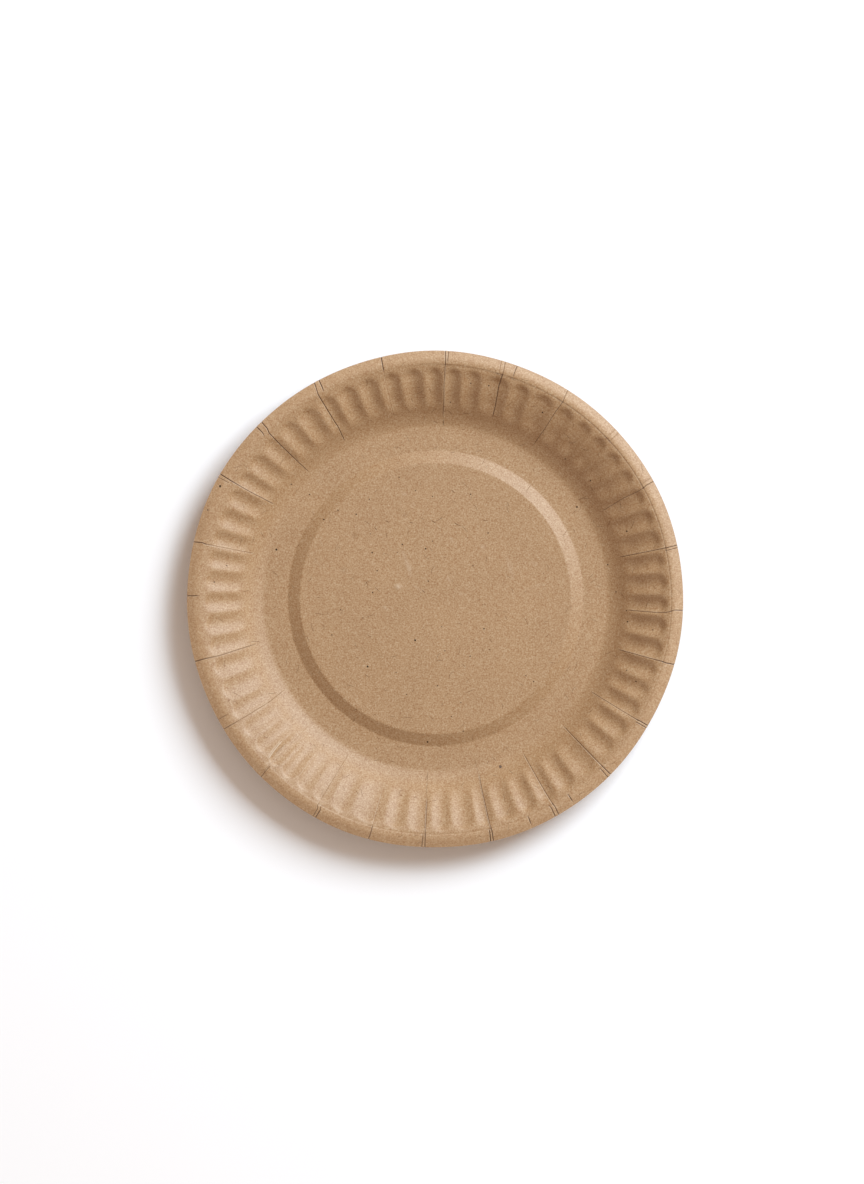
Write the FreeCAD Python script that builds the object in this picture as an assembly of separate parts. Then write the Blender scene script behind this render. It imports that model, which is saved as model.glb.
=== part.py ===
"""Round fluted paper plate, pressed in one piece from a scored disc of kraft card.

Units are millimetres. +Z is up and the origin is on the table, under the plate's centre.
The section is drawn for the upper skin; the lower skin lies one card thickness under it.
A station is a place on the section: its radius, its height and the slope of the card there.
"""

import FreeCAD, Part
import math
import os

# Overall sizes
plate_diameter = 230.0
plate_height = 15.8
card = 0.5

# Rim, from the cut edge in to its crest
rim_run = 5.2
rim_slope = math.radians(20.0)
crest_radius = 7.0

# Sloping wall, from the crest in to the flat ring that the plate stands on
wall_run = 31.6
wall_top_slope = math.radians(16.5)
corner_radius = 13.5

# Standing ring, and the step from it up to the raised middle
ring_width = 10.0
plateau_rise = 2.7
step_slope = math.radians(25.5)
step_bend_radius = 2.0

# Flutes pressed into the wall; their widths are those at the head of the channels
flute_count = 63
first_ridge = math.radians(1.2)
flute_depth = 1.05
ridge_width = 1.6
channel_width = 2.2
foot_ramp_run = 6.6
head_ramp_run = 5.6

# Score lines where the card is folded in, from the floor's corner out through the rim
score_angles = [math.radians(angle) for angle in (
    12.5, 28, 42.5, 57.2, 73.1, 87.5, 102.7, 119.5, 135, 149.9, 166.4, 179.3,
    194.6, 211.8, 225.2, 240.5, 254.6, 267.7, 283.7, 299.8, 315.1, 329.2, 344.6, 357,
)]
score_width = 0.4
score_depth = 0.2
least_kink = 0.02

# Flat pieces that each bend is pressed in
step_bend_pieces = 2
corner_pieces = 3

plate_radius = plate_diameter / 2
flute_pitch = 2 * math.pi / flute_count


def straight(start, length):
    """The station a straight length on from start."""
    radius, height, slope = start
    return radius + length * math.cos(slope), height + length * math.sin(slope), slope


def turn(start, slope, bend_radius):
    """The station where a bend from start reaches another slope."""
    radius, height, start_slope = start
    side = 1 if slope > start_slope else -1
    radius += side * bend_radius * (math.sin(slope) - math.sin(start_slope))
    height += side * bend_radius * (math.cos(start_slope) - math.cos(slope))
    return radius, height, slope


def bend(start, slope, bend_radius, pieces):
    """The stations of a bend from start to another slope, start included."""
    step = (slope - start[2]) / pieces
    return [turn(start, start[2] + step * piece, bend_radius) for piece in range(pieces + 1)]


def wall_curve(foot, head):
    """Slope at the wall's foot and radius of its outward curve, from the floor's corner to its head."""
    low, high = head[2], math.radians(85)
    for _ in range(60):
        slope = (low + high) / 2
        start = turn(foot, slope, corner_radius)
        rise = (head[0] - start[0]) * math.tan((slope + head[2]) / 2)
        if start[1] + rise < head[1]:
            low = slope
        else:
            high = slope
    return slope, (head[0] - start[0]) / (math.sin(slope) - math.sin(head[2]))


# Stations of the upper skin, from the cut edge inwards
crest = (plate_radius - rim_run, plate_height, 0.0)
rim_start = turn(crest, -rim_slope, crest_radius)
rim_edge = straight(rim_start, (plate_radius - rim_start[0]) / math.cos(rim_slope))
wall_head = turn(crest, wall_top_slope, -crest_radius)
ring_outer = (crest[0] - wall_run, card, 0.0)
foot_slope, wall_radius = wall_curve(ring_outer, wall_head)
corner = bend(ring_outer, foot_slope, corner_radius, corner_pieces)
wall_foot = corner[-1]

ring_inner = straight(ring_outer, -ring_width)
step_foot = bend(ring_inner, -step_slope, -step_bend_radius, step_bend_pieces)[::-1]
bend_rise = step_foot[0][1] - card
step_top = straight(step_foot[0], (2 * bend_rise - plateau_rise) / math.sin(step_slope))
step_head = bend(step_top, 0.0, -step_bend_radius, step_bend_pieces)[::-1]
middle = (0.0, card + plateau_rise, 0.0)


def on_wall(radius):
    """The station of the wall's outward curve at that radius."""
    slope = math.asin(math.sin(foot_slope) - (radius - wall_foot[0]) / wall_radius)
    return turn(wall_foot, slope, wall_radius)


channel_foot = on_wall(wall_foot[0] + foot_ramp_run)
channel_head = on_wall(wall_head[0] - head_ramp_run)

# Rows of the fluted wall, each with the share of the flutes' depth it is pressed to
flute_rows = ((wall_foot, 0), (channel_foot, 1), (channel_head, 1), (wall_head, 0))


def point(station, sink, angle=0.0):
    """The point sunk under the upper skin at a station, turned round the plate's axis."""
    radius, height, slope = station
    radius += sink * math.sin(slope)
    height -= sink * math.cos(slope)
    return FreeCAD.Vector(radius * math.cos(angle), radius * math.sin(angle), height)


def revolved(stations, sink):
    """The faces of one skin that a plain run of stations sweeps in a full turn."""
    faces = []
    for start, end in zip(stations, stations[1:]):
        edge = Part.makeLine(point(start, sink), point(end, sink))
        faces += edge.revolve(FreeCAD.Vector(), FreeCAD.Vector(0, 0, 1), 360).Faces
    return faces


def facets(*corners):
    """Flat faces inside a loop of up to four corners, in two where they aren't level with each other."""
    loop = [place for index, place in enumerate(corners) if not place.isEqual(corners[index - 1], 1e-6)]
    if len(loop) < 3:
        return []
    if len(loop) == 4 and abs((loop[1] - loop[0]).cross(loop[2] - loop[0]).dot(loop[3] - loop[0])) > 1e-6:
        return facets(*loop[:3]) + facets(loop[0], *loop[2:])
    return [Part.Face(Part.makePolygon(loop + loop[:1]))]


def flute_angles(sink):
    """Where a skin's ridge ends and its channel starts, seen from the ridge's own middle line."""
    head_radius = channel_head[0]
    flank_run = (flute_pitch * head_radius - ridge_width - channel_width) / 2
    shift = sink * math.tan(math.atan2(flute_depth, flank_run) / 2)
    return (ridge_width / 2 - shift) / head_radius, flute_pitch / 2 - (channel_width / 2 + shift) / head_radius


def flute_row(station, share, sink):
    """Corners of one flute in one row: both of its ridge's, then those of the channels beside it."""
    ridge, channel = flute_angles(sink) if share else (flute_pitch / 2, flute_pitch / 2)
    low = sink + share * flute_depth * station[0] / channel_head[0]
    return (
        {side: point(station, sink, side * ridge) for side in (-1, 1)},
        {side: point(station, low, side * channel) for side in (-1, 1)},
        point(station, low, flute_pitch - channel),
    )


def flute_faces(sink):
    """One ridge, its two flanks and the channel after it, in one skin."""
    faces = []
    rows = [flute_row(station, share, sink) for station, share in flute_rows]
    for (tops, lows, far), (next_tops, next_lows, next_far) in zip(rows, rows[1:]):
        faces += facets(tops[-1], tops[1], next_tops[1], next_tops[-1]) + facets(lows[1], far, next_far, next_lows[1])
        for side in (-1, 1):
            faces += facets(tops[side], lows[side], next_lows[side], next_tops[side])
    return faces


def junction_face(sink, ring, row):
    """One flute's piece of the strip between a true circle and the straight-edged row next to it."""
    half = flute_pitch / 2
    arc = Part.Arc(*(point(ring, sink, angle) for angle in (-half, 0, half)))
    return Part.makeRuledSurface(arc.toShape(), Part.makeLine(point(row, sink, -half), point(row, sink, half)))


def turned(shape, angle):
    copy = shape.copy()
    copy.rotate(FreeCAD.Vector(), FreeCAD.Vector(0, 0, 1), math.degrees(angle))
    return copy


def pressed_plate():
    """The closed solid of the plate, before its score lines."""
    axis = FreeCAD.Vector(0, 0, 1)
    cut_edge = Part.makeLine(point(rim_edge, 0), point(rim_edge, card))
    faces = cut_edge.revolve(FreeCAD.Vector(), axis, 360).Faces
    for sink in (0, card):
        faces += revolved([middle] + step_head + step_foot + corner[:-1], sink)
        faces += revolved([crest, rim_start, rim_edge], sink)
        flute = flute_faces(sink)
        flute += [junction_face(sink, corner[-2], wall_foot), junction_face(sink, crest, wall_head)]
        for number in range(flute_count):
            faces += [turned(face, first_ridge + number * flute_pitch) for face in flute]
    skin = Part.makeCompound(faces)
    skin.sewShape(0.001)
    return Part.Solid(skin.Shells[0])


def wall_path(angle):
    """Stations and sinks of the upper skin up the fluted wall at an angle, kinks of the flutes' ramps included."""
    ridge, channel = flute_angles(0)
    half = flute_pitch / 2
    across = abs((angle - first_ridge + half) % flute_pitch - half)
    path = []
    for (station, share), (next_station, next_share) in zip(flute_rows, flute_rows[1:]):
        kinks = [(half - across) / (half - edge) for edge in (ridge, channel) if edge < across]
        kinks = [kink if next_share else 1 - kink for kink in kinks if least_kink < kink < 1 - least_kink]
        steps = [0] if share == next_share else [0] + sorted(kinks)
        for step in steps:
            pressed = share + (next_share - share) * step
            here = on_wall(station[0] + (next_station[0] - station[0]) * step)
            start, end = half + (ridge - half) * pressed, half + (channel - half) * pressed
            flank = min(max((across - start) / (end - start), 0), 1) if pressed else 0
            path.append((here, flank * pressed * flute_depth * here[0] / channel_head[0]))
    return path + [(wall_head, 0)]


def groove(path, angle):
    """A vee with its point a score's depth under the upper skin, along a path of stations and sinks."""
    aside = FreeCAD.Vector(-math.sin(angle), math.cos(angle), 0) * (1.5 * score_width)
    sections = []
    for station, sink in path:
        high = point(station, sink - 2 * score_depth, angle)
        sections.append((point(station, sink + score_depth, angle), high + aside, high - aside))
    faces = facets(*sections[0]) + facets(*sections[-1])
    for section, after in zip(sections, sections[1:]):
        for index in range(3):
            faces += facets(section[index - 1], section[index], after[index], after[index - 1])
    return Part.Solid(Part.Shell(faces))


def score_tools():
    """Everything that the score lines take out of the upper skin."""
    rim = [(station, 0) for station in (crest, rim_start, straight(rim_edge, card))]
    return [groove(wall_path(angle) + rim, angle) for angle in score_angles]


plate = pressed_plate().cut(score_tools()).Solids[0]
os.makedirs("parts", exist_ok=True)
plate.exportStep("parts/paper_plate.step")
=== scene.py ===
"""Looks of the pressed kraft paper plate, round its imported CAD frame.

Sizes are in mm until they go into a mesh, which is in metres. Angles of places round the plate run
counter-clockwise from +X. A station is a place on the plate's section: radius, height and slope there.
"""

from collections import namedtuple
import math

import bpy
import numpy as np
from mathutils import Matrix, Vector
from mathutils.bvhtree import BVHTree


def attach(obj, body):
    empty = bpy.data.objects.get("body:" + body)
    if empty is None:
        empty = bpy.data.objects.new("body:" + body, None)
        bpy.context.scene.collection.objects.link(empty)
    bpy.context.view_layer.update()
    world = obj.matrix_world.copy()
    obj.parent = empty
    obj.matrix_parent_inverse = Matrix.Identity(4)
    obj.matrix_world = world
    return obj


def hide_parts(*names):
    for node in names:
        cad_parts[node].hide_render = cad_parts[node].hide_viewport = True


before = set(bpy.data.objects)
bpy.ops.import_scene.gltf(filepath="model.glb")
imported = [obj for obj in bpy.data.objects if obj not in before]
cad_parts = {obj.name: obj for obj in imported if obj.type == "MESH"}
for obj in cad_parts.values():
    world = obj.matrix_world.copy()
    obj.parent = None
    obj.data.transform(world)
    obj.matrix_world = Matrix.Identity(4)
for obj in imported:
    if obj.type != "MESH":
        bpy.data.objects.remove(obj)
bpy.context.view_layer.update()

MM = 0.001
rng = np.random.default_rng(7)

# The plate's section
CARD = 0.5
HEIGHT = 15.8
EDGE_RADIUS = 114.65
CREST_RADIUS = 109.8
CREST_BEND = 7.0
RIM_SLOPE = math.radians(18.6)
WALL_RUN = 30.9
WALL_TOP_SLOPE = math.radians(12.1)
RING_WIDTH = 10.0
RISE = 2.7
STEP_SLOPE = math.radians(25.5)
STEP_BEND = 2.0

# The floor's corner bends tightly up to this slope, and then more easily
CORNER_SLOPE = math.radians(20)
CORNER_BENDS = (6.5, 19.0)

# Flutes

# Ridges between the flutes: angle in degrees, and how deep the channels beside them are at FLUTE_DEPTH_RADIUS
RIDGES = [
    (1.3, 1.74), (6.9, 1.70), (12.0, 1.48), (18.1, 1.81), (23.6, 1.92), (29.8, 1.60), (35.1, 1.50),
    (40.7, 1.68), (46.0, 1.75), (51.7, 1.85), (57.6, 1.65), (64.7, 1.90), (70.1, 1.92), (77.6, 1.67),
    (82.9, 1.45), (87.8, 1.66), (92.7, 1.42), (98.7, 1.63), (104.4, 1.35), (110.2, 1.41), (116.1, 1.49),
    (121.7, 1.33), (127.8, 1.37), (133.6, 1.12), (139.6, 1.29), (145.4, 1.07), (150.3, 1.09), (155.9, 1.23),
    (161.8, 1.12), (167.2, 1.27), (172.4, 1.03), (178.2, 1.11), (183.5, 1.03), (189.4, 1.00), (195.0, 0.92),
    (200.7, 0.80), (206.8, 0.87), (212.4, 0.81), (217.8, 0.80), (223.0, 1.05), (227.4, 1.10), (232.3, 1.00),
    (237.7, 0.62), (242.8, 0.62), (248.4, 0.80), (257.2, 1.10), (262.8, 0.87), (269.0, 0.84), (274.3, 0.95),
    (280.5, 1.00), (285.5, 1.05), (291.4, 1.17), (297.1, 1.27), (302.6, 1.24), (308.4, 1.42), (316.0, 1.00),
    (322.1, 1.39), (327.9, 1.48), (333.7, 1.28), (338.9, 1.16), (344.4, 1.54), (350.1, 1.68), (355.9, 1.92),
]
FLUTE_DEPTH_RADIUS = 102

# Where the flutes deepen, from the wall's foot, and where they run out, from its head; and the power that
# shapes them across
FOOT_RAMP = (-0.8, 6.4)
HEAD_RAMP = (-4.7, -0.5)
CHANNEL_SHAPE = 0.76

# The channels end round: how much earlier at the ridges, and how evenly. The ends follow this share of the
# pressed line's shift.
HEAD_ROUND = 2.2
HEAD_ROUND_SHAPE = 1.5
HEAD_SHIFT = 0.7

# On the side facing the light the channels end more steeply, by this run and round this angle, and a painted
# highlight lies on their heads there: how far from the wall's head, how wide and how light
STEEP_HEADS = (1.6, math.radians(228))
HEAD_HIGHLIGHT = (-1.3, 0.7, 0.85)

# A fine line pressed round the head of the wall, a little off the plate's centre
PRESS_LINE_RADIUS = 108.42
PRESS_LINE_SHIFT = 0.8
PRESS_LINE_AZIMUTH = math.radians(-18)
PRESS_LINE_WIDTH = 0.30
PRESS_LINE_DEPTH = 0.14
PRESS_LINE_DEPTH_BELOW = 0.08

# The pressed line's painted shade: how dark at its most and at which angle, the side where the line's groove
# is in shade, and how dark and how wide, in degrees, at the folds
PRESS_SHADE = (0.5, 40)
PRESS_TICKS = (0.45, 0.55)

# Folds and wrinkles

# Folds in the card. On the wall: (radius, angle) from the foot up, then how dark the line is painted, as
# painted shade in its groove, and how light the card beside it, as painted highlights on its clockwise and
# its other side.
# On the rim, for each line: its angles at the crest and at the edge, and the same three tones.
FOLDS = [
    {"wall": [(86.8, 12.7), (99, 12.58), (109.3, 12.5)], "tone": (1.1, 0.1, 0.7),
     "rim": [(12.5, 12.55, 1.5, 0.5, 0.5), (11.9, 12.0, 1.05, 0.3, 0)]},
    {"wall": [(86.6, 27.68), (97, 28.12), (106, 27.95), (109.3, 28.05)], "tone": (0.85, 0, 0.2),
     "rim": [(28.3, 28.3, 1.15, 0.3, 0), (29.2, 29.3, 0.55, 0, 0.3)]},
    {"wall": None, "rim": [(42.1, 42.1, 0.5, 0, 0.1), (43.2, 43.3, 0.42, 0, 0.2)]},
    {"wall": [(84, 57.5), (93, 57.2), (103, 57.2), (109, 57.0)], "tone": (0.95, 0, 0.15),
     "rim": [(57.25, 57.5, 0.85, 0.1, 0)]},
    {"wall": None, "rim": [(70.6, 70.55, 1.2, 0.2, 0)]},
    {"wall": [(87.4, 72.5), (92, 72.65), (102, 73.3), (109, 73.2)], "tone": (1.4, 0.2, 0),
     "rim": [(73.25, 73.45, 0.85, 0.3, 0.6), (74.2, 74.4, 0.4, 0.2, 0.2)]},
    {"wall": [(84, 87.7), (91, 87.5), (99, 87.6), (109, 87.4)], "tone": (0.95, 1.0, 0),
     "rim": [(87.4, 87.55, 1.15, 0.6, 0.6), (86.9, 86.85, 1, 0.6, 0.6)]},
    {"wall": [(86.5, 102.9), (90, 102.9), (104, 102.75), (109, 102.6)], "tone": (0.3, 0, 0.4),
     "rim": [(102.57, 102.5, 2, 0.1, 0.1)]},
    {"wall": [(84, 120.0), (91, 119.45), (93, 119.6), (109, 119.7)], "tone": (1.5, 0, 0.4),
     "rim": [(119.5, 119.1, 1.1, 0.1, 0), (118.0, 117.9, 1.6, 0.5, 0.1)]},
    {"wall": [(83, 135.1), (100, 135.1), (108.4, 134.95)], "tone": (1.2, 0.4, 0),
     "rim": [(134.5, 134.4, 1.45, 0.3, 0.5), (136.0, 136.0, 1.25, 0.1, 0.4)]},
    {"wall": [(86.4, 149.75), (99, 149.95), (109, 149.9)], "tone": (1.0, 1.1, 0.2),
     "rim": [(149.85, 149.8, 1.7, 0.5, 0.3), (150.6, 150.65, 0.55, 0.7, 0.3)]},
    {"wall": [(85.8, 166.1), (93, 166.25), (109, 166.55)], "tone": (0.6, 0.5, 0.5),
     "rim": [(166.4, 166.7, 1.4, 0.6, 0.2)]},
    {"wall": None, "rim": [(179.25, 179.3, 1.45, 0.1, 0.5)]},
    {"wall": [(85.6, 194.25), (93, 194.45), (103, 194.75), (109, 194.6)], "tone": (1.0, 0.5, 0),
     "rim": [(194.58, 194.65, 1.45, 0.4, 0.2)]},
    {"wall": None, "rim": [(209.1, 209.15, 0.75, 0.2, 0.2)]},
    {"wall": [(82, 211.25), (90, 211.9), (109, 211.8)], "tone": (0.7, 0.4, 0),
     "rim": [(211.75, 211.7, 1.05, 0.5, 0.3)]},
    {"wall": [(82, 225.0), (92, 225.2), (101, 225.3)], "tone": (0.3, 0.2, 0),
     "rim": [(225.45, 225.7, 0.9, 0.4, 0.1)]},
    {"wall": [(81.8, 240.75), (92, 240.6), (99, 240.45), (109, 240.4)], "tone": (0.5, 0.2, 0),
     "rim": [(240.8, 240.75, 0.9, 0.3, 0.4), (241.5, 241.35, 1.6, 0.4, 0.5)]},
    {"wall": [(92, 254.7), (99, 254.65), (109, 254.65)], "tone": (0.3, 0.5, 0.1),
     "rim": [(254.7, 254.55, 1.1, 0.4, 0.6)]},
    {"wall": [(92, 267.7), (100, 267.7), (109, 267.7)], "tone": (0.9, 0, 0.15),
     "rim": [(267.7, 267.68, 1.25, 0.6, 0.5), (267.1, 267.0, 1, 0.1, 0.6)]},
    {"wall": [(83.5, 284.0), (89, 283.75), (105, 283.7)], "tone": (1.0, 0.5, 0),
     "rim": [(283.85, 283.6, 1.8, 0.5, 0.5), (283.3, 283.0, 2, 0.5, 0.5)]},
    {"wall": None, "rim": [(293.25, 293.1, 1.5, 0, 0.1)]},
    {"wall": [(82.2, 299.5), (88, 299.6), (102, 299.75), (109, 299.95)], "tone": (0.85, 0.9, 0),
     "rim": [(300.1, 299.9, 1.15, 0.5, 0.8), (299.2, 299.0, 1.15, 0.5, 0.5)]},
    {"wall": None, "rim": [(304.35, 304.2, 1.6, 0.2, 0)]},
    {"wall": [(83.4, 315.1), (100, 315.1), (109, 315.1)], "tone": (0.95, 1.1, 0.1),
     "rim": [(315.1, 315.1, 1.35, 0.4, 0.5), (314.35, 314.2, 0.95, 0, 0.5)]},
    {"wall": [(83.4, 329.08), (100, 329.15), (109, 329.2)], "tone": (0.8, 1.2, 0.8),
     "rim": [(329.3, 329.3, 1.9, 0.9, 0.8), (328.7, 328.7, 1.05, 0.4, 0.8)]},
    {"wall": [(87.4, 344.5), (100, 344.6), (109, 344.7)], "tone": (1.0, 0.2, 1.2),
     "rim": [(344.6, 344.75, 1.6, 0.1, 0.6)]},
    {"wall": [(88.5, 356.6), (103, 356.55), (107, 356.7)], "tone": (1.0, 0, 0.7),
     "rim": [(357.4, 357.4, 1.15, 0.1, 0.7)]},
]
SHORT_TICKS = (293.25, 304.35)
TICK_END = 112.6

# Wrinkles in the wall, and a dark dent beside the first: where they run, where they end and their tones,
# which are painted highlight on the wrinkles and painted shade in the dent
WRINKLES = [
    {"path": [(96, 223.0), (98.7, 223.1), (102, 223.4), (107, 224.0)], "end": 106.6,
     "tone": (-2.1, 1.1, 0.2), "width": 2.2},
    {"path": [(95, 224.1), (102.5, 224.2), (107, 224.75)], "end": 102.6,
     "tone": (0.42, -0.36, -0.36), "width": 2.0},
    {"path": [(96.5, 232.45), (103, 232.55)], "end": 102.4, "tone": (-0.8, 0, 0), "width": 1.5},
]

# The rim's lines start here and run straight from just past the crest; tones change over this run
RIM_LINE_START = 108.6
PAST_CREST = 0.8
TONE_BLEND = 0.6
START_FADE = (-0.4, 2.0)
END_FADE = (-1.0, 0.4)

# Depth of a full dark line in the upper and the lower skin, and rise of the card beside a full light one
CUT_DEPTH = 0.22
CUT_DEPTH_BELOW = -0.12
SIDE_RISE = 0.07

# Lines nearer to each other than this, in degrees, have the card lapped between them
LAP_WIDEST = 1.7
LAP_HEIGHT = 0.10

# Marks in the middle, specks and fibres

# Small bumps pressed into the raised middle: x, y, size and height in mm, and how dark they are painted:
# painted highlight on the bumps and painted shade in the dents
BUMPS = [
    (-15.8, 41.6, 1.5, 0.28, -0.3), (-14.2, 38.8, 2.0, -0.15, 0.26), (-37.6, 29.0, 1.9, -0.14, 0.24),
    (-36.0, 30.4, 1.5, 0.22, 0), (-17.3, 5.4, 1.2, 0.35, -0.9), (-19.6, 6.8, 1.4, -0.10, 0.1),
    (-13.4, 15.6, 1.8, 0.16, -0.25), (-42.6, 13.0, 2.2, -0.12, 0.26), (34.5, 14.0, 2.6, 0.12, -0.2),
    (-26.0, -21.0, 1.8, 0.14, -0.2), (-34.3, -23.6, 2.0, -0.14, 0.2), (-48.0, 22.0, 3.0, 0.16, 0),
]

# Pale smudges on it: x and y of both ends and width in mm, and how light
SMUDGES = [
    (-15.1, 21.7, -12.0, 13.8, 1.0, 0.45), (-12.0, 13.8, -11.7, 10.6, 1.1, 0.45),
    (-10.4, 6.0, -5.2, 3.4, 0.7, 0.4), (-24.2, -4.0, -22.5, -4.9, 0.7, 0.6),
    (33.2, 18.9, 36.0, 9.7, 0.8, 0.4), (41.5, 4.1, 49.8, 6.4, 0.8, 0.35),
    (-18.3, 6.1, -16.9, 5.0, 1.0, 0.5), (5.5, 9.4, 7.0, 8.5, 0.8, 0.6), (21.5, 24.5, 23.0, 23.6, 0.7, 0.8),
    (45.0, 16.9, 46.4, 15.6, 0.8, 0.6), (-14.9, 48.6, -14.1, 48.4, 0.7, 0.9),
    (-10.6, 43.9, -9.8, 43.7, 0.6, 0.7), (7.1, 27.6, 7.9, 26.8, 0.8, 0.7),
    (11.6, 2.6, 12.1, 1.6, 0.7, 0.5),
]

# Specks of bark in the card, and one soft grey blob: x, y and width in mm
SPECKS = [
    (-15.4, 25.1, 0.6), (-4.5, 23.1, 0.6), (-3.3, 8.1, 0.5), (-29.3, 21.3, 0.6), (-27.0, 12.9, 0.55),
    (-29.1, 2.8, 0.5), (-9.4, -19.3, 0.8), (-31.4, -31.5, 0.75), (22.5, -14.0, 0.6), (16.1, -26.7, 0.55),
    (24.4, 30.4, 0.5), (16.3, 48.3, 0.5), (-1.3, 47.3, 0.45), (-9.2, 50.0, 0.4), (-16.8, 56.1, 0.45),
    (-45.1, 40.9, 0.55), (-51.7, 36.6, 0.6), (-36.7, 39.0, 0.5), (2.6, 37.2, 0.4), (17.4, 15.2, 0.45),
    (1.0, -40.4, 0.5), (-13.3, -44.5, 0.4), (11.8, -48.2, 0.4), (45.5, -38.4, 0.5), (41.9, -35.7, 0.45),
    (7.5, -54.7, 0.45), (-18.2, -34.3, 0.4), (-33.6, -9.0, 0.4), (-43.9, -5.2, 0.45), (-48.0, -16.9, 0.45),
    (25.2, -23.7, 0.4), (4.4, -24.2, 0.4), (-58.4, 48.1, 0.5), (-30.6, 46.0, 0.45), (2.9, -13.0, 0.4),
    (-1.4, 26.6, 0.4), (-17.7, 21.3, 0.35), (-30.1, 29.9, 0.4), (-73.8, 22.6, 0.75), (-3.7, -66.5, 0.7),
    (65.5, 42.4, 0.7), (79.8, 15.7, 0.55), (12.9, -61.4, 0.5), (24.9, 98.5, 0.6), (89.0, -10.6, 0.55),
    (92.9, -38.0, 0.5), (88.6, 31.3, 0.6), (71.8, 54.6, 0.55), (83.6, 3.1, 0.5), (49.7, 86.2, 0.6),
    (16.6, 99.6, 0.5), (7.0, 90.9, 0.5), (60.1, 64.7, 0.5), (-99.1, 52.1, 0.9), (-104.8, 41.1, 0.6),
    (-102.0, 7.8, 0.55), (-96.3, 15.3, 0.45), (-66.8, 52.9, 0.5), (100.7, -14.2, 0.45), (88.6, -32.9, 0.5),
    (88.5, -5.5, 0.45),
]
BLOB = (30.1, -77.9, 1.5)
SPECK_GAIN = 1.25

# Short dark shives: x, y, length in mm and direction in degrees
SHIVES = [
    (-22.2, 35.6, 1.8, -35), (-11.1, 35.1, 1.8, -25), (-27.7, 32.3, 1.6, -60), (8.1, 49.6, 1.8, -50),
    (10.1, 34.2, 3.2, -35), (-5.6, 3.3, 1.8, -50), (-0.9, 35.5, 2.3, -40),
]
SHIVE_WIDTH = 0.3
SHIVE_CURL = 0.4

# Fibres and the finest specks, strewn at random: how many, what share of them is dark, and their sizes
STRAY_FIBRES = 420
DARK_FIBRES = 0.72
FIBRE_LENGTHS = (1.0, 4.5)
FIBRE_WIDTHS = (0.10, 0.17)
FIBRE_CURL = 0.9
STRAY_SPECKS = 150
DARK_SPECKS = 0.8
SPECK_WIDTHS = (0.22, 0.38)
STREWN_RADIUS = 113

# How round and how even a speck is
SPECK_SIDES = 8
SPECK_STRETCH = (0.8, 1.0)
SPECK_UNEVEN = (0.85, 1.15)

# How far the flakes lie over the skin, the length of a fibre's pieces, and how high the rays start that find
# the skin
FLAKE_LIFT = 0.02
FIBRE_PIECE = 0.8
RAY_HEIGHT = 50

# The mesh's divisions
STEP_PIECES = 5

# Inside this radius the rings have even columns, and from there out also those of the folds
COLUMNS_FROM = 80

# Columns of the mesh round each fold line: offset in degrees, then shares of its painted shade and of its two
# painted highlights
FINE_GROOVE = (
    (-0.36, 0, 0, 0), (-0.23, 0, 1, 0), (-0.13, 0.1, 0.3, 0), (-0.065, 0.8, 0, 0), (0, 1, 0, 0),
    (0.065, 0.8, 0, 0), (0.13, 0.1, 0, 0.3), (0.23, 0, 0, 1), (0.36, 0, 0, 0),
)
COARSE_GROOVE = ((-0.12, 0, 0, 0), (0, 1, 0, 0), (0.12, 0, 0, 0))

# How far the even columns keep off them, and those of two lines off the middle between the lines, in degrees
CLEARANCE = 0.08
LEAST_GAP = 0.02

# Slow waves round the plate, how far they move the rim out and up, and how far it is shifted as a whole
WAVES = [(count, rng.uniform(0, 2 * math.pi)) for count in (2, 3, 5, 7, 11)]
WANDER_OUT = (0.08, 0.10, 0.12, 0.10, 0.08)
WANDER_UP = (0.05, 0.05, 0.05, 0.04, 0.03)
OUTLINE_SHIFT = 0.2


# Stations of the section
def turn(start, slope, radius):
    """The station where a bend from start reaches another slope."""
    side = 1 if slope > start[2] else -1
    return (
        start[0] + side * radius * (math.sin(slope) - math.sin(start[2])),
        start[1] + side * radius * (math.cos(start[2]) - math.cos(slope)),
        slope,
    )


def bend(start, slope, radius, pieces):
    """The stations of a bend from start to another slope, start included."""
    step = (slope - start[2]) / pieces
    return [turn(start, start[2] + step * piece, radius) for piece in range(pieces + 1)]


def straight(start, length):
    """The station a straight length on from start."""
    return start[0] + length * math.cos(start[2]), start[1] + length * math.sin(start[2]), start[2]


def corner_turn(start, slope):
    """The station where the corner reaches the wall's slope."""
    return turn(turn(start, CORNER_SLOPE, CORNER_BENDS[0]), slope, CORNER_BENDS[1])


def wall_curve(foot, head):
    """Slope at the wall's foot and the radius of its outward curve."""
    low, high = head[2], math.radians(85)
    for _ in range(60):
        slope = (low + high) / 2
        start = corner_turn(foot, slope)
        rise = (head[0] - start[0]) * math.tan((slope + head[2]) / 2)
        low, high = (slope, high) if start[1] + rise < head[1] else (low, slope)
    return slope, (head[0] - start[0]) / (math.sin(slope) - math.sin(head[2]))


crest = (CREST_RADIUS, HEIGHT, 0.0)
rim_start = turn(crest, -RIM_SLOPE, CREST_BEND)
rim_length = (EDGE_RADIUS - rim_start[0]) / math.cos(RIM_SLOPE)
rim_edge = straight(rim_start, rim_length)
wall_head = turn(crest, WALL_TOP_SLOPE, -CREST_BEND)
ring_outer = (crest[0] - WALL_RUN, CARD, 0.0)
foot_slope, wall_radius = wall_curve(ring_outer, wall_head)
wall_foot = corner_turn(ring_outer, foot_slope)
ring_inner = straight(ring_outer, -RING_WIDTH)
step_foot = bend(ring_inner, -STEP_SLOPE, -STEP_BEND, STEP_PIECES)[::-1]
foot_rise = step_foot[0][1] - CARD
step_top = straight(step_foot[0], (2 * foot_rise - RISE) / math.sin(STEP_SLOPE))
step_head = bend(step_top, 0.0, -STEP_BEND, STEP_PIECES)[::-1]


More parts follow.
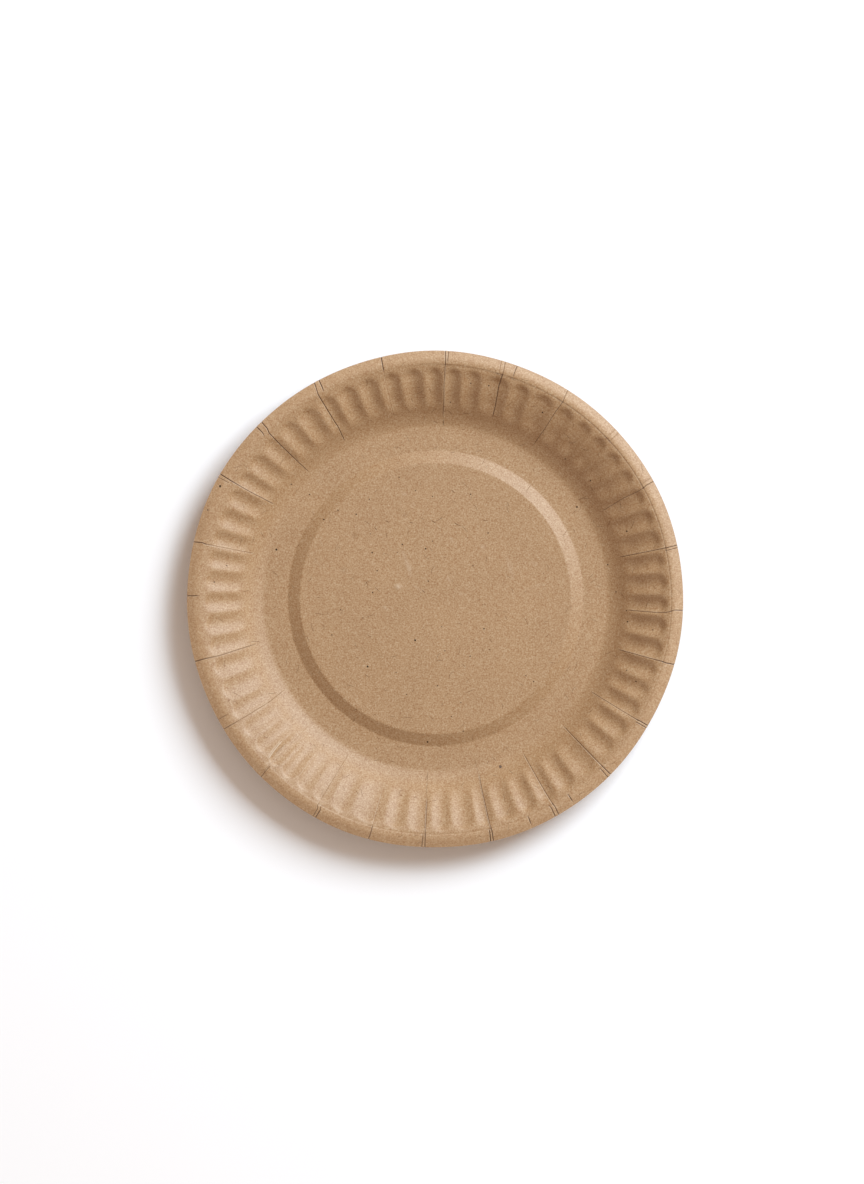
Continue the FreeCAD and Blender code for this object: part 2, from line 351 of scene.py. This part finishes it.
def section(skin):
    """The stations of a skin from its middle out to the cut edge."""
    middle = [(radius, CARD + RISE, 0.0) for radius in skin.middle_radii]
    ring = [straight(ring_outer, -RING_WIDTH / 2)]
    corner = bend(ring_outer, CORNER_SLOPE, CORNER_BENDS[0], skin.corner_pieces)
    corner += bend(corner[-1], foot_slope, CORNER_BENDS[1], skin.corner_pieces)[1:]
    wall = bend(wall_foot, WALL_TOP_SLOPE, wall_radius, skin.wall_pieces)
    top = bend(wall_head, -RIM_SLOPE, CREST_BEND, skin.crest_pieces)
    rim = [straight(rim_start, share * rim_length) for share in (0.5, 0.9, 1)]
    return middle + step_head + step_foot + ring + corner + wall[1:] + top[1:] + rim


# Fold lines and the columns that follow them
def fold_lines():
    """Every line of the folds and wrinkles: path of (radius, angle), ends, tones on wall and rim, width."""
    found = []
    for fold in FOLDS:
        first = fold["rim"][0]
        for place, (at_crest, at_edge, *tones) in enumerate(fold["rim"]):
            rim = [(CREST_RADIUS + PAST_CREST, at_crest), (EDGE_RADIUS, at_edge)]
            wall = [(radius, angle + at_crest - first[0]) for radius, angle in fold["wall"] or ()]
            found.append({
                "path": wall + rim,
                "start": wall[0][0] if wall and place == 0 else RIM_LINE_START,
                "end": TICK_END if at_crest in SHORT_TICKS else None,
                "wall": fold.get("tone", (0, 0, 0)),
                "rim": tones,
                "width": 1.0,
            })
    for wrinkle in WRINKLES:
        found.append({
            "path": wrinkle["path"],
            "start": wrinkle["path"][0][0],
            "end": wrinkle["end"],
            "wall": wrinkle["tone"],
            "rim": (0, 0, 0),
            "width": wrinkle["width"],
        })
    return sorted(found, key=lambda line: line["path"][-1][1])


lines = fold_lines()
line_edges = np.array([line["path"][-1][1] for line in lines])
line_widths = np.array([line["width"] for line in lines])


def apart(angle, other):
    """How far angles in degrees are from each other."""
    return np.abs((angle - other + 180) % 360 - 180)


class Columns:
    """The mesh's columns up the wall: even ones keep clear of the folds, and each fold has its own."""

    def __init__(self, count, groove):
        reach = groove[-1][0]
        found = []
        for index in range(count):
            angle = 360 * index / count
            if (apart(angle, line_edges) > (reach + CLEARANCE) * line_widths).all():
                found.append((angle, -1, 0, 0, 0))
        after = np.append(line_edges, line_edges[0] + 360)
        before = np.append(line_edges[-1] - 360, line_edges)
        for number, centre in enumerate(line_edges):
            rooms = ((centre - before[number]) / 2, (after[number + 1] - centre) / 2)
            for offset, *shares in groove:
                squeeze = min(line_widths[number], (rooms[offset > 0] - LEAST_GAP) / reach)
                found.append((centre + offset * squeeze, number, *shares))
        found.sort()
        self.angle, self.line, *shares = (np.array(values) for values in zip(*found))
        self.shares = np.array(shares)
        self.on_fold = self.line >= 0

    def at(self, radius):
        """Angles of all the columns at a radius: each fold line pulls the columns near it along."""
        drift = np.array([np.interp(radius, *zip(*line["path"])) for line in lines]) - line_edges
        around = np.concatenate([line_edges - 360, line_edges, line_edges + 360])
        pull = np.interp(self.angle, around, np.tile(drift, 3))
        pull[self.on_fold] = drift[self.line[self.on_fold]]
        return self.angle + pull


# Everything in which the upper and the lower skin differ
Skin = namedtuple("Skin", [
    "sink", "flip", "columns", "middle_columns", "middle_radii", "corner_pieces", "wall_pieces",
    "crest_pieces", "cut_depth", "side_rise", "press_depth",
])
upper_skin = Skin(
    sink=0.0, flip=False, columns=Columns(11 * len(RIDGES), FINE_GROOVE), middle_columns=4 * len(RIDGES),
    middle_radii=np.arange(2.4, step_head[0][0] - 0.6, 1.2), corner_pieces=5, wall_pieces=24, crest_pieces=22,
    cut_depth=CUT_DEPTH, side_rise=SIDE_RISE, press_depth=PRESS_LINE_DEPTH,
)
lower_skin = Skin(
    sink=CARD, flip=True, columns=Columns(7 * len(RIDGES), COARSE_GROOVE), middle_columns=2 * len(RIDGES),
    middle_radii=(14, 28, 42, 54), corner_pieces=3, wall_pieces=12, crest_pieces=8,
    cut_depth=CUT_DEPTH_BELOW, side_rise=0.0, press_depth=PRESS_LINE_DEPTH_BELOW,
)


# How the card is pressed and toned
def smooth_step(value, low, high):
    t = np.clip((value - low) / (high - low), 0.0, 1.0)
    return t * t * (3 - 2 * t)


ridge_angles, ridge_depths = np.array(RIDGES).T
ridges_around = np.concatenate([ridge_angles - 360, ridge_angles, ridge_angles + 360])
ridge_numbers = np.arange(len(ridges_around)) - len(RIDGES)


def flutes(angle, radius):
    """How deep the flutes press the card at angles in degrees, and the painted highlight on their heads."""
    number = np.interp(angle, ridges_around, ridge_numbers)
    across = np.abs(((number + 0.5) % 1) - 0.5) * 2
    profile = 0.5 - 0.5 * np.cos(math.pi * across ** CHANNEL_SHAPE)
    gain = radius / FLUTE_DEPTH_RADIUS * np.interp(number, ridge_numbers, np.tile(ridge_depths, 3))
    foot = smooth_step(radius, wall_foot[0] + FOOT_RAMP[0], wall_foot[0] + FOOT_RAMP[1])
    from_head = radius - wall_head[0]
    from_head -= HEAD_SHIFT * PRESS_LINE_SHIFT * np.cos(np.radians(angle) - PRESS_LINE_AZIMUTH)
    from_head += HEAD_ROUND * (1 - across) ** HEAD_ROUND_SHAPE
    steep = np.clip(np.cos(np.radians(angle) - STEEP_HEADS[1]), 0, 1) ** 2
    head = 1 - smooth_step(from_head, HEAD_RAMP[0] + STEEP_HEADS[0] * steep, HEAD_RAMP[1])
    offset, width, tone = HEAD_HIGHLIGHT
    # A painted highlight on the channels' heads, on the side of the plate facing the light
    painted_light = tone * steep * profile * np.exp(-((from_head - offset) / width) ** 2)
    return gain * profile * foot * head, painted_light


def fold_tones(columns, radius):
    """How dark every column is at a radius, and how light on either side of the folds: painted shade and
    painted highlights.
    """
    tones = np.zeros((3, len(columns.angle)))
    folded = columns.on_fold
    for share in range(3):
        reach = np.zeros(len(lines))
        for number, line in enumerate(lines):
            wall, rim, start, end = line["wall"][share], line["rim"][share], line["start"], line["end"]
            on_rim = smooth_step(radius, RIM_LINE_START - TONE_BLEND, RIM_LINE_START + TONE_BLEND)
            tone = wall + (rim - wall) * on_rim
            tone *= smooth_step(radius, start + START_FADE[0], start + START_FADE[1])
            if end:
                tone *= 1 - smooth_step(radius, end + END_FADE[0], end + END_FADE[1])
            reach[number] = tone
        tones[share, folded] = columns.shares[share, folded] * reach[columns.line[folded]]
    return tones


def lap_rise(columns, radius):
    """How far the card stands proud on the rim between the two lines of a fold."""
    rise = np.zeros(len(columns.angle))
    for low, high in zip(line_edges, line_edges[1:]):
        if high - low < LAP_WIDEST:
            inside = (columns.angle > low + LEAST_GAP / 2) & (columns.angle < high - LEAST_GAP / 2)
            rise[inside] += LAP_HEIGHT
    return rise * smooth_step(radius, RIM_LINE_START, RIM_LINE_START + PAST_CREST)


def press_tone(angles):
    """How dark the pressed line is painted: painted shade, strongest on the side of the plate where the
    line's groove is in shade, and in a short tick at every fold.
    """
    away = apart(angles[:, None], line_edges[line_widths == 1][None, :]).min(1)
    line_shade = PRESS_SHADE[0] * np.clip(np.cos(np.radians(angles - PRESS_SHADE[1])), 0, 1) ** 2
    return line_shade + PRESS_TICKS[0] * np.exp(-(away / PRESS_TICKS[1]) ** 2)


def wall_marks(skin, radius, angles):
    """How deep the card of wall and rim is pressed at angles in degrees, and how dark it is, with its painted
    shade and painted highlights.
    """
    cut, *sides = fold_tones(skin.columns, radius)
    light = sum(sides)
    pressed, painted_light = flutes(angles, radius)
    line_radius = PRESS_LINE_RADIUS + PRESS_LINE_SHIFT * np.cos(np.radians(angles) - PRESS_LINE_AZIMUTH)
    press = np.exp(-((radius - line_radius) / PRESS_LINE_WIDTH) ** 2)
    depth = pressed - lap_rise(skin.columns, radius)
    depth += skin.cut_depth * cut - skin.side_rise * light + skin.press_depth * press
    # Painted shade in the folds and the pressed line, painted highlight beside the folds and on the channels'
    # heads
    return depth, cut - light - painted_light + press * press_tone(angles)


def middle_marks(x, y):
    """How deep the card of the middle is pressed by its bumps, and how dark it is: painted highlight and
    shade on the bumps, and pale smudges.
    """
    depth, dark = np.zeros(len(x)), np.zeros(len(x))
    for bump_x, bump_y, size, rise, tone in BUMPS:
        near = np.exp(-((x - bump_x) ** 2 + (y - bump_y) ** 2) / size ** 2)
        depth -= rise * near
        # Painted highlight on a bump, painted shade in a dent
        dark += tone * near
    for start_x, start_y, end_x, end_y, width, tone in SMUDGES:
        run_x, run_y = end_x - start_x, end_y - start_y
        along = np.clip(((x - start_x) * run_x + (y - start_y) * run_y) / (run_x ** 2 + run_y ** 2), 0, 1)
        away = np.hypot(x - start_x - along * run_x, y - start_y - along * run_y)
        dark -= tone * np.exp(-(away / width) ** 2)
    return depth, dark


def wander(angle, sizes):
    """A slow wander round the plate; angle in radians."""
    return sum(size * np.cos(count * angle + phase) for size, (count, phase) in zip(sizes, WAVES))


# The mesh
vertices = []
faces = []
crease = []


def add_face(corners, flip):
    faces.append(corners[::-1] if flip else corners)


def add_ring(station, skin):
    """One ring of vertices; returns their indices and angles."""
    radius, height, slope = station
    if radius > COLUMNS_FROM:
        angles = skin.columns.at(radius)
        radians = np.radians(angles)
        depth, dark = wall_marks(skin, radius, angles)
    else:
        angles = np.arange(0, 360, 360 / skin.middle_columns)
        radians = np.radians(angles)
        depth, dark = middle_marks(radius * np.cos(radians), radius * np.sin(radians))
    depth += skin.sink
    reach = smooth_step(radius, COLUMNS_FROM, EDGE_RADIUS)
    out = radius + depth * math.sin(slope)
    out += reach * (wander(radians, WANDER_OUT) - OUTLINE_SHIFT * np.sin(radians))
    up = height - depth * math.cos(slope) + reach * wander(radians, WANDER_UP)
    first = len(vertices)
    vertices.extend(zip(out * np.cos(radians) * MM, out * np.sin(radians) * MM, up * MM))
    crease.extend(dark)
    return list(range(first, len(vertices))), angles


def stitch(inner, outer, flip):
    """Faces between two rings: quads where their columns match, and else triangles."""
    (a, a_angles), (b, b_angles) = inner, outer
    if len(a) == len(b):
        for i in range(len(a)):
            j = (i + 1) % len(a)
            add_face((a[i], b[i], b[j], a[j]), flip)
        return
    a_order, b_order = np.argsort(a_angles % 360), np.argsort(b_angles % 360)

    def angle_at(angles, order, index):
        return angles[order[index % len(order)]] % 360 + (360 if index >= len(order) else 0)

    i = j = 0
    while i < len(a) or j < len(b):
        here_a, here_b = a[a_order[i % len(a)]], b[b_order[j % len(b)]]
        nearer = angle_at(a_angles, a_order, i + 1) <= angle_at(b_angles, b_order, j + 1)
        if i < len(a) and (nearer or j >= len(b)):
            i += 1
            add_face((here_a, here_b, a[a_order[i % len(a)]]), flip)
        else:
            j += 1
            add_face((here_a, here_b, b[b_order[j % len(b)]]), flip)


def add_skin(skin):
    """The rings of one skin, from its middle vertex out to the cut edge; returns the last ring."""
    middle = len(vertices)
    vertices.append((0, 0, (CARD + RISE - skin.sink) * MM))
    crease.append(0.0)
    ring = None
    for station in section(skin):
        after = add_ring(station, skin)
        if ring:
            stitch(ring, after, skin.flip)
        else:
            loop = after[0]
            for i in range(len(loop)):
                add_face((middle, loop[i], loop[(i + 1) % len(loop)]), skin.flip)
        ring = after
    return ring


upper_edge = add_skin(upper_skin)
lower_edge = add_skin(lower_skin)
stitch(upper_edge, lower_edge, False)

mesh = bpy.data.meshes.new("pressed_card")
mesh.from_pydata(vertices, [], faces)
mesh.update()
mesh.shade_smooth()
mesh.attributes.new("crease", "FLOAT", "POINT").data.foreach_set("value", crease)
edge_sets = [set(ring) for ring, angles in (upper_edge, lower_edge)]
for edge in mesh.edges:
    if any(edge.vertices[0] in ring and edge.vertices[1] in ring for ring in edge_sets):
        edge.use_edge_sharp = True
plate = bpy.data.objects.new("pressed_card", mesh)
bpy.context.scene.collection.objects.link(plate)
print("triangles", sum(len(face) - 2 for face in faces))

# Materials

# Pulp from its darkest to its lightest grain, and how much darker its clouds are
PULP_STOPS = [
    (0.28, (0.282, 0.130, 0.042)), (0.44, (0.371, 0.210, 0.092)),
    (0.56, (0.424, 0.262, 0.131)), (0.74, (0.528, 0.373, 0.223)),
]
CLOUD_STOPS = [(0.30, (0.94, 0.93, 0.92)), (0.70, (1.0, 1.0, 1.0))]

# Noise scales to the metre, as (scale, detail, roughness)
GRAIN_NOISE = (1500, 2, 0.65)
CLUMP_NOISE = (560, 2, 0.6)
CLOUD_NOISE = (38, 3, 0.55)
BUMP_NOISE = (2100, 2, 0.65)
CLUMP_SHARE = 0.22

# What is added as painted light on the rim, and the colours of the pale marks with the painted highlights,
# and of the painted shade. Each range says how they set in: from and to which radius in metres or mark value,
# and how strong at most.
RIM_PAINTED_LIGHT = (0.055, 0.042, 0.030)
RIM_PAINTED_LIGHT_RANGE = (0.1085, 0.1110, 0.8)
PALE_MARK_AND_HIGHLIGHT = (0.60, 0.46, 0.32)
PALE_MARK_AND_HIGHLIGHT_RANGE = (-0.1, -2.2, 0.9)
PAINTED_SHADE_COLOUR = (0.10, 0.05, 0.025)
PAINTED_SHADE_RANGE = (0.1, 1.2, 0.88)

BARK, SHIVE, GREY_BLOB, PALE_FIBRE = range(4)
FLAKE_COLOURS = (
    ("bark", (0.050, 0.030, 0.016)), ("shive", (0.16, 0.082, 0.035)),
    ("grey_blob", (0.15, 0.10, 0.07)), ("pale_fibre", (0.53, 0.38, 0.24)),
)
FLAKE_SHEEN = 0.15


class Nodes:
    """The node tree of a new material, with short ways to add what the card's looks need."""

    def __init__(self, name):
        self.material = bpy.data.materials.new(name)
        self.material.use_nodes = True
        self.tree = self.material.node_tree
        self.tree.nodes.clear()
        self.place = self.add("ShaderNodeTexCoord").outputs["Object"]

    def add(self, kind, settings=(), **inputs):
        """A node with its settings and its unlinked input values."""
        node = self.tree.nodes.new(kind)
        for name, value in dict(settings).items():
            setattr(node, name, value)
        for name, value in inputs.items():
            node.inputs[name.replace("_", " ")].default_value = value
        return node

    def feed(self, target, value):
        """Give an input its value, or link it to an output."""
        if isinstance(value, bpy.types.NodeSocket):
            self.tree.links.new(value, target)
        else:
            target.default_value = value

    def noise(self, scale, detail, roughness):
        node = self.add("ShaderNodeTexNoise", Scale=scale, Detail=detail, Roughness=roughness)
        self.feed(node.inputs["Vector"], self.place)
        return node.outputs["Fac"]

    def ramp(self, source, stops):
        node = self.add("ShaderNodeValToRGB")
        elements = node.color_ramp.elements
        while len(elements) < len(stops):
            elements.new(0.5)
        for element, (position, colour) in zip(elements, stops):
            element.position = position
            element.color = (*colour, 1)
        self.feed(node.inputs["Fac"], source)
        return node.outputs["Color"]

    def setting_in(self, source, start, end, most):
        """A value that rises from 0 to its most while the source goes from start to end."""
        node = self.add("ShaderNodeMapRange", From_Min=start, From_Max=end, To_Max=most)
        self.feed(node.inputs["Value"], source)
        return node.outputs["Result"]

    def math(self, operation, *values):
        node = self.add("ShaderNodeMath", {"operation": operation})
        for target, value in zip(node.inputs, values):
            self.feed(target, value)
        return node.outputs[0]

    def mix(self, kind, factor, base, colour):
        """Two colours mixed by a factor."""
        node = self.add("ShaderNodeMix", {"data_type": "RGBA", "blend_type": kind})
        self.feed(node.inputs[0], factor)
        self.feed(node.inputs[6], base)
        self.feed(node.inputs[7], (*colour, 1) if isinstance(colour, tuple) else colour)
        return node.outputs[2]

    def from_axis(self):
        """How far a place is from the plate's axis, in metres."""
        flat = self.add("ShaderNodeVectorMath", {"operation": "MULTIPLY"})
        self.feed(flat.inputs[0], self.place)
        self.feed(flat.inputs[1], (1, 1, 0))
        length = self.add("ShaderNodeVectorMath", {"operation": "LENGTH"})
        self.feed(length.inputs[0], flat.outputs["Vector"])
        return length.outputs["Value"]


def pulp(nodes):
    """Colour of the card's pulp: grains and clumps, in slow clouds."""
    grain = nodes.math("MULTIPLY_ADD", nodes.noise(*CLUMP_NOISE), CLUMP_SHARE, nodes.noise(*GRAIN_NOISE))
    grain = nodes.math("SUBTRACT", grain, CLUMP_SHARE / 2)
    clouds = nodes.ramp(nodes.noise(*CLOUD_NOISE), CLOUD_STOPS)
    return nodes.mix("MULTIPLY", 1.0, nodes.ramp(grain, PULP_STOPS), clouds)


def kraft():
    """Kraft card: pulp, with painted light on the rim, and with the marks, painted shade and painted
    highlights in the mesh's attribute.
    """
    nodes = Nodes("kraft_card")
    colour = pulp(nodes)
    # Painted light on the rim, lighter from just inside the crest out
    painted_light = nodes.mix("ADD", 1.0, colour, RIM_PAINTED_LIGHT)
    colour = nodes.mix("MIX", nodes.setting_in(nodes.from_axis(), *RIM_PAINTED_LIGHT_RANGE), colour, painted_light)
    marks = nodes.add("ShaderNodeAttribute", {"attribute_name": "crease"}).outputs["Fac"]
    # Pale marks with the painted highlights, then the painted shade
    colour = nodes.mix("MIX", nodes.setting_in(marks, *PALE_MARK_AND_HIGHLIGHT_RANGE), colour, PALE_MARK_AND_HIGHLIGHT)
    colour = nodes.mix("MIX", nodes.setting_in(marks, *PAINTED_SHADE_RANGE), colour, PAINTED_SHADE_COLOUR)
    shader = nodes.add("ShaderNodeBsdfPrincipled", Roughness=0.60, Specular_IOR_Level=0.8)
    nodes.feed(shader.inputs["Base Color"], colour)
    bump = nodes.add("ShaderNodeBump", Strength=0.35, Distance=0.00006)
    nodes.feed(bump.inputs["Height"], nodes.noise(*BUMP_NOISE))
    nodes.feed(shader.inputs["Normal"], bump.outputs["Normal"])
    nodes.feed(nodes.add("ShaderNodeOutputMaterial").inputs[0], shader.outputs[0])
    return nodes.material


def plain(name, colour, sheen):
    """A dull material of one colour, for flakes too small to have a grain, and for the floor."""
    material = bpy.data.materials.new(name)
    material.use_nodes = True
    shader = material.node_tree.nodes["Principled BSDF"]
    shader.inputs["Base Color"].default_value = (*colour, 1)
    shader.inputs["Roughness"].default_value = 0.8
    shader.inputs["Specular IOR Level"].default_value = sheen
    return material


mesh.materials.append(kraft())
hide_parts("paper_plate")
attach(plate, "root")

# Specks and stray fibres in the card
skin_tree = BVHTree.FromPolygons([Vector(vertex) for vertex in vertices], faces)
flake_vertices, flake_faces, flake_colours = [], [], []


def on_skin(x, y):
    """The point a flake's lift over the upper skin at a place in mm, or None beside the plate."""
    point, normal, _, _ = skin_tree.ray_cast(Vector((x * MM, y * MM, RAY_HEIGHT * MM)), Vector((0, 0, -1)))
    return point + normal * FLAKE_LIFT * MM if point else None


def add_flake(outline, colour):
    """One flat flake over the skin, from its outline in mm and in order round it."""
    corners = [on_skin(x, y) for x, y in outline]
    if None in corners:
        return
    first = len(flake_vertices)
    flake_vertices.extend(corners)
    flake_faces.append(tuple(range(first, first + len(corners))))
    flake_colours.append(colour)


def add_speck(x, y, width, colour):
    """A roundish, uneven flake."""
    turned, stretch = rng.uniform(0, math.tau), rng.uniform(*SPECK_STRETCH)
    outline = []
    for index in range(SPECK_SIDES):
        angle = math.tau * index / SPECK_SIDES
        reach = width / 2 * rng.uniform(*SPECK_UNEVEN)
        u, v = reach * math.cos(angle), reach * stretch * math.sin(angle)
        outline.append((
            x + u * math.cos(turned) - v * math.sin(turned),
            y + u * math.sin(turned) + v * math.cos(turned),
        ))
    add_flake(outline, colour)


def add_fibre(x, y, length, width, direction, curl, colour):
    """A thin curved hair of fibre, in short flakes that follow the skin and taper to its ends."""
    pieces = max(2, round(length / FIBRE_PIECE))
    sides = []
    for index in range(pieces + 1):
        half = width / 2 * math.sin(math.pi * (index + 0.35) / (pieces + 0.7)) ** 0.5
        u, v = half * math.sin(direction), half * math.cos(direction)
        sides.append(((x + u, y - v), (x - u, y + v)))
        x += length / pieces * math.cos(direction)
        y += length / pieces * math.sin(direction)
        direction += curl / pieces
    for (right, left), (next_right, next_left) in zip(sides, sides[1:]):
        add_flake([right, next_right, next_left, left], colour)


def strewn_place():
    """A random place on the plate."""
    radius, angle = STREWN_RADIUS * math.sqrt(rng.uniform()), rng.uniform(0, math.tau)
    return radius * math.cos(angle), radius * math.sin(angle)


for x, y, width in SPECKS:
    add_speck(x, y, SPECK_GAIN * width, BARK)
add_speck(*BLOB, GREY_BLOB)
for x, y, length, direction in SHIVES:
    angle = math.radians(direction)
    start = x - length / 2 * math.cos(angle), y - length / 2 * math.sin(angle)
    add_fibre(*start, length, SHIVE_WIDTH, angle, SHIVE_CURL, SHIVE)
for _ in range(STRAY_FIBRES):
    x, y = strewn_place()
    colour = SHIVE if rng.uniform() < DARK_FIBRES else PALE_FIBRE
    length, width = rng.uniform(*FIBRE_LENGTHS), rng.uniform(*FIBRE_WIDTHS)
    add_fibre(x, y, length, width, rng.uniform(0, math.tau), rng.normal(0, FIBRE_CURL), colour)
for _ in range(STRAY_SPECKS):
    x, y = strewn_place()
    width = rng.uniform(*SPECK_WIDTHS)
    add_speck(x, y, width, SHIVE if rng.uniform() < DARK_SPECKS else PALE_FIBRE)

speck_mesh = bpy.data.meshes.new("bark_specks")
speck_mesh.from_pydata(flake_vertices, [], flake_faces)
for name, colour in FLAKE_COLOURS:
    speck_mesh.materials.append(plain(name, colour, FLAKE_SHEEN))
speck_mesh.polygons.foreach_set("material_index", flake_colours)
specks = bpy.data.objects.new("bark_specks", speck_mesh)
bpy.context.scene.collection.objects.link(specks)
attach(specks, "root")

# Floor and light
FLOOR_HALF = 3.0
FLOOR_COLOUR = (0.96, 0.96, 0.96)
FLOOR_SHEEN = 0.5
WORLD_COLOUR = (1.20, 0.96, 0.80, 1)
WORLD_STRENGTH = 0.415
LAMP_AWAY = 3

scene = bpy.context.scene
scene.view_settings.view_transform = "Standard"

floor_mesh = bpy.data.meshes.new("floor")
floor_corners = [(x * FLOOR_HALF, y * FLOOR_HALF, 0) for x, y in ((-1, -1), (1, -1), (1, 1), (-1, 1))]
floor_mesh.from_pydata(floor_corners, [], [(0, 1, 2, 3)])
floor_mesh.materials.append(plain("floor_white", FLOOR_COLOUR, FLOOR_SHEEN))
floor = bpy.data.objects.new("floor", floor_mesh)
scene.collection.objects.link(floor)

world = bpy.data.worlds.new("studio")
world.use_nodes = True
background = world.node_tree.nodes["Background"]
background.inputs["Color"].default_value = WORLD_COLOUR
background.inputs["Strength"].default_value = WORLD_STRENGTH
scene.world = world


def softbox(name, azimuth, elevation, size, energy, colour):
    """A square soft light that faces the plate; angles in degrees, size in metres."""
    lamp = bpy.data.lights.new(name, "AREA")
    lamp.shape, lamp.size, lamp.energy, lamp.color = "SQUARE", size, energy, colour
    light = bpy.data.objects.new(name, lamp)
    azimuth, elevation = math.radians(azimuth), math.radians(elevation)
    light.location = LAMP_AWAY * Vector((
        math.cos(elevation) * math.cos(azimuth), math.cos(elevation) * math.sin(azimuth), math.sin(elevation),
    ))
    light.rotation_euler = (-light.location).to_track_quat("-Z", "Y").to_euler()
    scene.collection.objects.link(light)


softbox("key", azimuth=45, elevation=38, size=1.6, energy=117, colour=(0.87, 1.0, 1.12))
softbox("bounce", azimuth=225, elevation=14, size=1.4, energy=5, colour=(1.0, 0.99, 0.97))

# The camera looks nearly straight down: AIM is the point at the frame's middle, in the plane of the cut edge,
# and CAMERA_TILT is how far the camera leans from there to the right and away
AIM = Vector((-1.25, 3.28, rim_edge[1]))
CAMERA_AWAY = 4000.0
CAMERA_TILT = (math.radians(1.64), math.radians(1.26))

# A pixel of the photo in mm, and the height that all its rows show
PIXEL = 0.4614
PHOTO_HEIGHT = 1184 * PIXEL

camera_data = bpy.data.cameras.new("camera")
# The sensor's height fits the photo's view, and its width is such that views from the side take in the plate
camera_data.sensor_fit = "VERTICAL"
camera_data.sensor_width, camera_data.sensor_height = 31, 24
camera_data.lens = camera_data.sensor_height * CAMERA_AWAY / PHOTO_HEIGHT
camera = bpy.data.objects.new("camera", camera_data)
back = Vector((math.tan(CAMERA_TILT[0]), math.tan(CAMERA_TILT[1]), 1))
location = (AIM + CAMERA_AWAY * back) * MM
back.normalize()
right = Vector((0, 1, 0)).cross(back).normalized()
up = back.cross(right)
camera.matrix_world = Matrix([[right[i], up[i], back[i], location[i]] for i in range(3)] + [[0, 0, 0, 1]])
scene.collection.objects.link(camera)
scene.camera = camera
